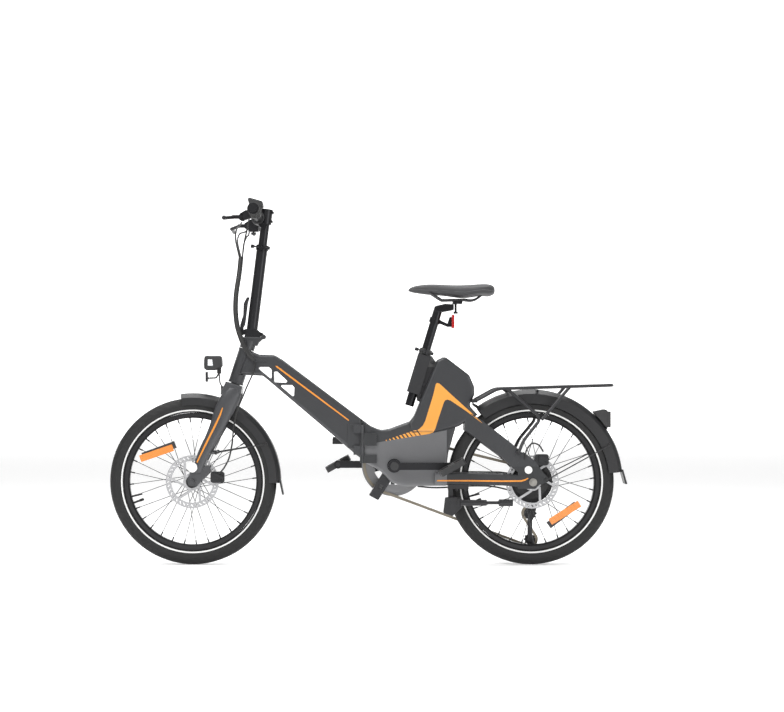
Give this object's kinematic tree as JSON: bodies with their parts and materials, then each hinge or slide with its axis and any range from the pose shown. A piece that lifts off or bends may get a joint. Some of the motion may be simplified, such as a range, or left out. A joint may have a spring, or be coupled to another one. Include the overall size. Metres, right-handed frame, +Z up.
{
  "type": "folding electric bicycle",
  "caption": "Compact folding bicycle with small spoked wheels, a hub motor, disc brakes, a battery in the seat mast, a rear carrier and a folding handlepost.",
  "frame": {"origin": "on the floor under the middle of the bicycle, in its plane of symmetry", "axes": "+X towards the rear wheel, +Z up, +Y to the bicycle's right, the drivetrain side"},
  "size_m": [1.57, 0.608, 1.1115],
  "materials": {
    "frame_paint": "satin",
    "black_metal": "satin",
    "black_plastic": "matte",
    "battery_plastic": "satin",
    "display_plastic": "gloss",
    "lamp_red": "gloss",
    "tyre": "matte",
    "rim_black": "satin",
    "spoke_steel": "satin",
    "rotor_steel": "brushed",
    "chainring_alloy": "brushed",
    "chain_steel": "brushed",
    "saddle_cover": "matte",
    "cable_black": "satin",
    "lock_metal": "polished"
  },
  "bodies": {
    "rear_half": {"rear_frame": "frame_paint", "seat_tube_block": "frame_paint", "bottom_bracket": "black_metal", "motor_controller": "black_plastic", "rear_mudguard": "black_plastic", "rear_rack": "black_metal", "tail_lamp": "lamp_red", "rear_brake_caliper": "black_metal", "rear_cables": "cable_black", "underframe_brackets": "black_metal", "rear_axle": "rotor_steel", "derailleur_mount": "black_metal", "chain": "chain_steel"},
    "front_half": {"front_frame": "frame_paint", "bar_cables": "cable_black"},
    "fork_assembly": {"fork": "frame_paint", "handlepost_base": "frame_paint", "front_mudguard": "black_plastic", "front_brake_caliper": "black_metal", "lamp_bracket": "black_metal", "front_brake_cable": "cable_black"},
    "headlamp": {"headlamp": "black_plastic"},
    "front_wheel": {"front_tyre": "tyre", "front_rim": "rim_black", "front_spokes": "spoke_steel", "front_hub": "rim_black", "front_rotor": "rotor_steel"},
    "rear_wheel": {"rear_tyre": "tyre", "rear_rim": "rim_black", "rear_spokes": "spoke_steel", "rear_hub_motor": "rim_black", "rear_rotor": "rotor_steel"},
    "cassette": {"cassette": "rotor_steel"},
    "crankset": {"crank_spindle": "black_metal", "crank_arms": "black_metal", "chainring": "chainring_alloy"},
    "pedal_left": {"pedal_left": "black_plastic"},
    "pedal_right": {"pedal_right": "black_plastic"},
    "handlepost": {"handlepost": "black_metal"},
    "cockpit": {"inner_post": "black_metal", "handlebar": "black_metal", "lever_mounts": "black_metal", "display": "display_plastic"},
    "brake_lever_left": {"brake_lever_left": "black_metal"},
    "brake_lever_right": {"brake_lever_right": "black_metal"},
    "shifter_lever": {"shifter_lever": "black_plastic"},
    "stem_latch": {"stem_latch_lever": "black_metal"},
    "post_lever": {"post_qr_lever": "black_metal"},
    "saddle_assembly": {"seatpost": "black_metal", "saddle_rails": "black_metal", "saddle": "saddle_cover"},
    "seat_lever": {"seat_qr_lever": "black_metal"},
    "battery": {"battery_pack": "battery_plastic"},
    "battery_lock": {"battery_lock": "lock_metal"},
    "kickstand": {"kickstand_leg": "black_metal"},
    "derailleur_link": {"derailleur_link": "black_metal"},
    "derailleur_cage": {"derailleur_cage": "black_metal"},
    "guide_pulley": {"guide_pulley": "black_plastic"},
    "tension_pulley": {"tension_pulley": "black_plastic"},
    "frame_latch": {"frame_latch_lever": "black_metal"}
  },
  "joints": [
    {"name": "frame_fold", "type": "hinge", "parent": "rear_half", "child": "front_half", "pos_m": [-0.02, -0.042, 0.36], "axis": [0, 0, 1], "range_deg": [0, 137]},
    {"name": "frame_latch", "type": "hinge", "parent": "rear_half", "child": "frame_latch", "pos_m": [-0.009, 0.045, 0.375], "axis": [0, 0, -1], "range_deg": [0, 100]},
    {"name": "steering", "type": "hinge", "parent": "front_half", "child": "fork_assembly", "pos_m": [-0.405, 0, 0.549], "axis": [0.309, 0, 0.9511], "range_deg": [-60, 60], "deforming": ["bar_cables", "front_brake_cable"]},
    {"name": "stem_fold", "type": "hinge", "parent": "fork_assembly", "child": "handlepost", "pos_m": [-0.3194, 0, 0.6914], "axis": [0, -1, 0], "range_deg": [-115, 0], "deforming": ["bar_cables"]},
    {"name": "stem_latch", "type": "hinge", "parent": "handlepost", "child": "stem_latch", "pos_m": [-0.385, 0, 0.7025], "axis": [0, -1, 0], "range_deg": [0, 100]},
    {"name": "post_height", "type": "slide", "parent": "handlepost", "child": "cockpit", "axis": [0.1231, 0, 0.9924], "range_m": [-0.035, 0.03], "deforming": ["bar_cables"]},
    {"name": "post_lever", "type": "hinge", "parent": "handlepost", "child": "post_lever", "pos_m": [-0.3517, -0.0229, 0.9659], "axis": [0.1231, 0, 0.9924], "range_deg": [0, 100]},
    {"name": "headlamp_tilt", "type": "hinge", "parent": "fork_assembly", "child": "headlamp", "pos_m": [-0.4545, 0, 0.5815], "axis": [0, 1, 0], "range_deg": [0, 12]},
    {"name": "brake_lever_right", "type": "hinge", "parent": "cockpit", "child": "brake_lever_right", "pos_m": [-0.372, 0.148, 1.044], "axis": [0, 0, -1], "range_deg": [0, 20], "stiffness_Nm_per_rad": 2},
    {"name": "brake_lever_left", "type": "hinge", "parent": "cockpit", "child": "brake_lever_left", "pos_m": [-0.372, -0.148, 1.044], "axis": [0, 0, 1], "range_deg": [0, 20], "stiffness_Nm_per_rad": 2},
    {"name": "shifter_lever", "type": "hinge", "parent": "cockpit", "child": "shifter_lever", "pos_m": [-0.356, 0.122, 1.016], "axis": [0, 0, 1], "range_deg": [0, 20], "stiffness_Nm_per_rad": 0.5},
    {"name": "front_wheel_spin", "type": "hinge", "parent": "fork_assembly", "child": "front_wheel", "pos_m": [-0.533, 0, 0.253], "axis": [0, 1, 0], "continuous": true},
    {"name": "rear_wheel_spin", "type": "hinge", "parent": "rear_half", "child": "rear_wheel", "pos_m": [0.493, 0, 0.253], "axis": [0, 1, 0], "continuous": true},
    {"name": "crank_spin", "type": "hinge", "parent": "rear_half", "child": "crankset", "pos_m": [0.077, 0, 0.301], "axis": [0, 1, 0], "continuous": true},
    {"name": "pedal_left_spin", "type": "hinge", "parent": "crankset", "child": "pedal_left", "pos_m": [0.247, -0.1, 0.301], "axis": [0, 1, 0], "continuous": true},
    {"name": "pedal_right_spin", "type": "hinge", "parent": "crankset", "child": "pedal_right", "pos_m": [-0.093, 0.1, 0.301], "axis": [0, 1, 0], "continuous": true},
    {"name": "cassette_spin", "type": "hinge", "parent": "rear_half", "child": "cassette", "pos_m": [0.493, 0, 0.253], "axis": [0, 1, 0], "continuous": true},
    {"name": "derailleur_shift", "type": "slide", "parent": "rear_half", "child": "derailleur_link", "axis": [0, 1, 0], "range_m": [-0.019, 0.0096], "deforming": ["chain"]},
    {"name": "cage_swing", "type": "hinge", "parent": "derailleur_link", "child": "derailleur_cage", "pos_m": [0.496, 0.05, 0.1517], "axis": [0, 1, 0], "range_deg": [-15, 15], "stiffness_Nm_per_rad": 1.5, "deforming": ["chain"]},
    {"name": "guide_spin", "type": "hinge", "parent": "derailleur_cage", "child": "guide_pulley", "pos_m": [0.496, 0.05, 0.1517], "axis": [0, 1, 0], "continuous": true},
    {"name": "tension_spin", "type": "hinge", "parent": "derailleur_cage", "child": "tension_pulley", "pos_m": [0.496, 0.05, 0.0722], "axis": [0, 1, 0], "continuous": true},
    {"name": "kickstand_swing", "type": "hinge", "parent": "rear_half", "child": "kickstand", "pos_m": [0.246, -0.052, 0.195], "axis": [0, 1, 0], "range_deg": [0, 90]},
    {"name": "battery_slide", "type": "slide", "parent": "rear_half", "child": "battery", "axis": [0.342, 0, 0.9397], "range_m": [0, 0.075]},
    {"name": "battery_lock", "type": "hinge", "parent": "battery", "child": "battery_lock", "pos_m": [0.309, -0.03, 0.541], "axis": [0, 1, 0], "range_deg": [0, 90]},
    {"name": "seat_height", "type": "slide", "parent": "rear_half", "child": "saddle_assembly", "axis": [0.289, 0, 0.9573], "range_m": [-0.035, 0.09]},
    {"name": "seat_lever", "type": "hinge", "parent": "rear_half", "child": "seat_lever", "pos_m": [0.1457, -0.0231, 0.6541], "axis": [0.289, 0, 0.9573], "range_deg": [0, 100]}
  ],
  "couplings": [
    {"joint": "cassette_spin", "follows": "crank_spin", "ratio": 2.4444},
    {"joint": "guide_spin", "follows": "crank_spin", "ratio": -4},
    {"joint": "tension_spin", "follows": "crank_spin", "ratio": 4.4}
  ]
}
